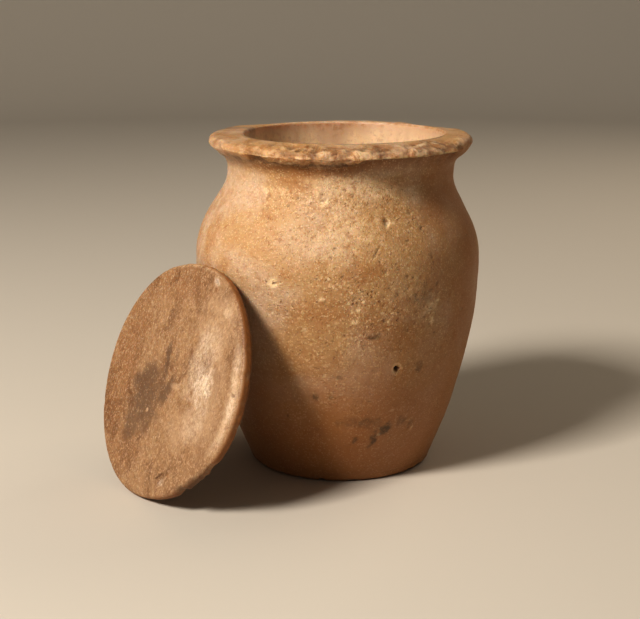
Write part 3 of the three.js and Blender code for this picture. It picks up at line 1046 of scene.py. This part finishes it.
def vase_stone(colours):
    """The vase's honey-coloured alabaster: cloudy, granular, pitted and stained, with painted shade under
    the lip, low on the front, on the right side, at the mouth and in the pinhole.
    """
    material, start = new_material("vase_stone")
    place = start.node("ShaderNodeTexCoord", None, None, "Object")
    clouds = place.noise(26 * MM, 3.0, 0.55, 0.6)
    mottle = place.stretched((1.0, 1.0, 1.6)).noise(7 * MM, 4.0, 0.6, 0.4)
    blotch = place.noise(4.5 * MM, 3.0, 0.6, 0.8)
    sugar = place.noise(1.7 * MM, 4.0, 0.75, 0.3)
    fine = place.noise(0.42 * MM, 2.0, 0.6)
    rough, sunk, proud, broken, scar = start.attributes("rough sunk proud broken scar")
    hole, hollow, opened, deep, pale = start.attributes("hole hollow open deep pale")
    amber, shade, soiled, mineral = start.attributes("amber shade soiled mineral")

    shaken = place.shaken(0.7 * MM, 0.5 * MM)
    near, chance = shaken.cells(0.62 * MM)
    fleck = chance.rise(0.60, 0.80) * (1 - near.rise(0.25, 0.65)) * (1 - hollow) * (1 - deep * 0.5)
    speck = (1 - chance).rise(0.74, 0.88) * (1 - near.rise(0.20, 0.60)) * (1 - hollow)
    near, chance = shaken.cells(1.25 * MM)
    crystal = chance.rise(0.62, 0.76) * (1 - near.rise(0.25, 0.60)) * opened
    pit = (1 - chance).rise(0.70, 0.82) * (1 - near.rise(0.15, 0.48)) * opened

    base = start.coloured(colours, "honey", (
        ("rosy", clouds.rise(0.36, 0.66)),
        ("amber", mottle.rise(0.50, 0.78) * 0.36),
        # Painted shade low on the front and on the right side, with deeper clouds behind.
        ("amber", deep * (0.62 + clouds * 0.42)),
        # The hollow's paler colour is partly painted light shining through the wall.
        ("hollow", hollow * 0.85),
        ("amber", amber * sugar.rise(0.20, 0.65) * 0.85),
        ("crystal", pale * sugar.rise(0.30, 0.58) * 0.85),
        ("amber", (1 - sugar).rise(0.48, 0.70) * (0.20 + rough * 0.40)),
        ("amber", broken * (0.15 + blotch.rise(0.40, 0.62) * 0.40)),
        ("earth_and_shade", broken * mottle.rise(0.46, 0.62) * 0.55),
        ("crystal", broken * proud * (1 - blotch).rise(0.40, 0.58) * 0.60),
        # The scar under the broken lip is darkened: partly a stain, partly painted shade under the lip's
        # overhang.
        ("amber", scar * 0.8),
        ("earth_and_shade", scar * (0.10 + blotch.rise(0.40, 0.60) * 0.25)),
        ("crystal", fleck * (0.25 + rough * 0.35)),
        ("earth_and_shade", speck * (0.07 + rough * 0.18)),
        ("crystal", crystal * 0.75),
        ("earth_and_shade", pit * 0.5),
        ("crystal", proud.rise(0.35, 1.0) * (1 - broken) * 0.35),
        ("earth_and_shade", sunk.rise(0.25, 1.0) * (0.15 + sugar * 0.65)),
        # Painted shade: the broken face's lower part, the neck under the lip and the mouth's left corner
        # are darkened.
        ("earth_and_shade", shade * (0.30 + blotch.rise(0.35, 0.60) * 0.5)),
        ("earth_and_shade", soiled * sugar.rise(0.10, 0.60) * 0.8),
        ("mineral", mineral * sugar.rise(0.20, 0.62) * 0.8),
        # Painted shade in the pinhole and along the mouth's near edge.
        ("mineral", hole.rise(0.1, 0.7) * 0.9),
    ))
    height = fine * 0.25 + fleck * 0.15 - speck * 0.35 + crystal * 0.4 - pit
    height = height + sugar * (0.35 + rough * 0.65 + broken * 1.2)
    roughness = 0.40 + sugar * 0.16 + rough * 0.14 - clouds * 0.06
    finish_stone(start, base, roughness, height, 0.32 * MM, 0.5, 4.0 * MM)
    return material


def lid_stone(colours):
    """The lid's browner alabaster: fibrous grain, a grey-brown stain and a low polish, with a painted
    highlight on the polish and painted shade on its left and round its edge.
    """
    material, start = new_material("lid_stone")
    place = start.attribute("lying", 1)
    fibres = place.stretched((1.0, 0.6, 1.0), (0.0, 0.0, 14.0))
    clouds = place.noise(20 * MM, 4.0, 0.55, 0.5)
    streaks = fibres.noise(6 * MM, 5.0, 0.70, 0.8)
    threads = fibres.noise(0.95 * MM, 4.0, 0.75, 0.8)
    fine = place.noise(0.4 * MM, 2.0, 0.6)
    glare, pale, grey, rosy, warm = start.attributes("glare pale grey rosy warm")
    broken, rim, sunk, soiled = start.attributes("broken rim sunk soiled")
    near, chance = place.shaken(0.8 * MM, 0.5 * MM).stretched((1.0, 0.75, 1.0)).cells(0.62 * MM)
    fleck = chance.rise(0.58, 0.78) * (1 - near.rise(0.25, 0.60))
    speck = (1 - chance).rise(0.66, 0.84) * (1 - near.rise(0.20, 0.55))

    base = start.coloured(colours, "lid_brown", (
        ("lid_tan", streaks.rise(0.34, 0.62)),
        ("lid_tan", clouds.rise(0.35, 0.60) * 0.6),
        # Painted shade on the lid's left.
        ("amber", warm * streaks.rise(0.25, 0.60) * 0.35),
        ("lid_brown", warm * 0.40),
        ("lid_pale", threads.rise(0.48, 0.68) * 0.36),
        ("lid_brown", (1 - threads).rise(0.50, 0.70) * 0.40),
        ("lid_grey", grey * (0.30 + streaks.rise(0.30, 0.52) * 0.35 + threads.rise(0.35, 0.60) * 0.25)),
        ("lid_pale", pale * (0.25 + threads * 0.75)),
        # Painted highlight on the polished streaks.
        ("glare", glare * (0.15 + threads.rise(0.30, 0.66) * 0.65)),
        ("rosy", rosy * 0.30),
        ("lid_pale", fleck * (0.40 - grey * 0.14)),
        ("lid_brown", speck * 0.36),
        # Painted shade and amber glow round the lid's edge.
        ("amber", rim * 0.85),
        ("earth_and_shade", rim * threads.rise(0.36, 0.62) * 0.35),
        ("crystal", broken * threads.rise(0.35, 0.60) * 0.3),
        ("earth_and_shade", sunk.rise(0.2, 1.0) * 0.45),
        ("earth_and_shade", soiled * 0.8),
    ))
    height = fine * 0.35 + fleck * 0.20 - speck * 0.25 + threads * 0.20 + broken * threads * 1.5
    roughness = 0.50 + threads * 0.14 - pale * 0.08 - glare * 0.10
    finish_stone(start, base, roughness, height, 0.10 * MM, 0.4, 2.6 * MM)
    return material


# The studio.


# The floor: the radius of its flat part, the radius that its edge curves up by, and its faces.
FLOOR_RADIUS = 1.3
FLOOR_CURVE = 0.45
FLOOR_STEPS = 96
CURVE_ROWS = 12
# The lights: bearing and rise from the vase in degrees, distance, size, the setting that holds the
# power, and the colour.
STUDIO_LIGHTS = (
    ("key_light", -47.0, 40.0, 1.3, 0.32, "key", (1.0, 0.95, 0.88)),
    ("fill_light", 132.0, 38.0, 1.1, 0.6, "fill", (1.0, 0.86, 0.68)),
)
AIR_TINT = (1.0, 0.88, 0.74)


def step_away(bearing, rise, distance):
    """The step that leads so far away along a bearing, rising by so many degrees."""
    along, up = math.radians(bearing), math.radians(rise)
    level = Vector((math.sin(along), -math.cos(along), 0.0)) * math.cos(up)
    return (level + Vector((0.0, 0.0, math.sin(up)))) * distance


def soft_light(name, place, target, size, power, tint):
    """A square soft light that faces a point."""
    lamp = bpy.data.lights.new(name, "AREA")
    lamp.size = size
    lamp.energy = power
    lamp.color = tint
    light = bpy.data.objects.new(name, lamp)
    light.location = place
    light.rotation_euler = (target - place).to_track_quat("-Z", "Y").to_euler()
    bpy.context.scene.collection.objects.link(light)


def studio_floor(tint):
    """A round floor whose edge curves up all the way round, so that every side has a plain background."""
    angles = np.linspace(0.0, math.pi / 2, CURVE_ROWS)
    edge = [(FLOOR_RADIUS + FLOOR_CURVE * math.sin(a), FLOOR_CURVE * (1 - math.cos(a))) for a in angles]
    floor = spun_object("studio_floor", [(0.0, 0.0), *edge], FLOOR_STEPS)
    floor.data.attributes.remove(floor.data.attributes["row"])
    material, start = new_material("studio_paper")
    shader = start.node("ShaderNodeBsdfPrincipled", None, {"Base Color": plain(tint), "Roughness": 0.9})
    start.node("ShaderNodeOutputMaterial", None, {"Surface": shader})
    floor.data.materials.append(material)


# What the panel's buttons do.


def dress(piece, material, node):
    """Gives a piece its stone and puts it in the place of the frame's plain one."""
    piece.data.materials.append(material)
    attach(piece, "root")
    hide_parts(node)


class ALABASTER_OT_vase(Operator):
    """Carve the vase, break its lip and stain it"""

    bl_idname = "alabaster.vase"
    bl_label = "Vase"

    def execute(self, context):
        scene = context.scene
        piece = carve_vase(scene.alabaster_vase)
        dress(piece, vase_stone(scene.alabaster_colours), "vase")
        return {"FINISHED"}


class ALABASTER_OT_lid(Operator):
    """Carve the lid and lean it on the vase"""

    bl_idname = "alabaster.lid"
    bl_label = "Lid"

    def execute(self, context):
        scene = context.scene
        piece = carve_lid(scene.alabaster_lid, scene.alabaster_vase)
        dress(piece, lid_stone(scene.alabaster_colours), "lid")
        return {"FINISHED"}


class ALABASTER_OT_studio(Operator):
    """Lay the pale floor, hang the soft lights and set the camera"""

    bl_idname = "alabaster.studio"
    bl_label = "Studio"

    def execute(self, context):
        scene = context.scene
        studio = scene.alabaster_studio
        studio_floor(studio.floor)
        aimed = Vector((0.0, 0.0, scene.alabaster_vase.belly_height))
        for name, bearing, rise, distance, size, power, tint in STUDIO_LIGHTS:
            soft_light(name, aimed + step_away(bearing, rise, distance), aimed, size,
                       getattr(studio, power), tint)
        world = bpy.data.worlds.new("studio_air")
        world.use_nodes = True
        air = world.node_tree.nodes["Background"].inputs
        air["Color"].default_value = plain(AIR_TINT)
        air["Strength"].default_value = studio.sky
        scene.world = world
        scene.view_settings.view_transform = "Standard"
        scene.view_settings.gamma = studio.contrast

        lens = bpy.data.cameras.new("camera")
        lens.lens = studio.lens
        lens.clip_start = 0.01
        camera = bpy.data.objects.new("camera", lens)
        camera.location = (-studio.camera_left, -studio.camera_distance, studio.camera_height)
        camera.rotation_euler = (math.radians(90.0 - studio.camera_tilt), 0.0, 0.0)
        scene.collection.objects.link(camera)
        scene.camera = camera
        return {"FINISHED"}


class ALABASTER_PT_panel(Panel):
    """The vase's buttons and sizes"""

    bl_idname = "ALABASTER_PT_panel"
    bl_label = "Alabaster vase"
    bl_space_type = "VIEW_3D"
    bl_region_type = "UI"
    bl_category = "Vase"

    def draw(self, context):
        layout = self.layout
        for maker in (ALABASTER_OT_vase, ALABASTER_OT_lid, ALABASTER_OT_studio):
            layout.operator(maker.bl_idname)
        for name in SETTINGS:
            box = layout.box()
            settings = getattr(context.scene, name)
            for prop in settings.bl_rna.properties:
                if prop.identifier not in {"rna_type", "name"}:
                    box.prop(settings, prop.identifier)


SETTINGS = {
    "alabaster_vase": VaseShape,
    "alabaster_lid": LidShape,
    "alabaster_colours": StoneColours,
    "alabaster_studio": StudioSetting,
}
CLASSES = (*SETTINGS.values(), ALABASTER_OT_vase, ALABASTER_OT_lid, ALABASTER_OT_studio, ALABASTER_PT_panel)


def register():
    for made in CLASSES:
        bpy.utils.register_class(made)
    for name, settings in SETTINGS.items():
        setattr(bpy.types.Scene, name, PointerProperty(type=settings))


def unregister():
    for name in SETTINGS:
        delattr(bpy.types.Scene, name)
    for made in reversed(CLASSES):
        bpy.utils.unregister_class(made)


def main():
    """Makes the pieces and the studio."""
    register()
    bpy.ops.alabaster.vase()
    bpy.ops.alabaster.lid()
    bpy.ops.alabaster.studio()


if __name__ == "__main__":
    main()
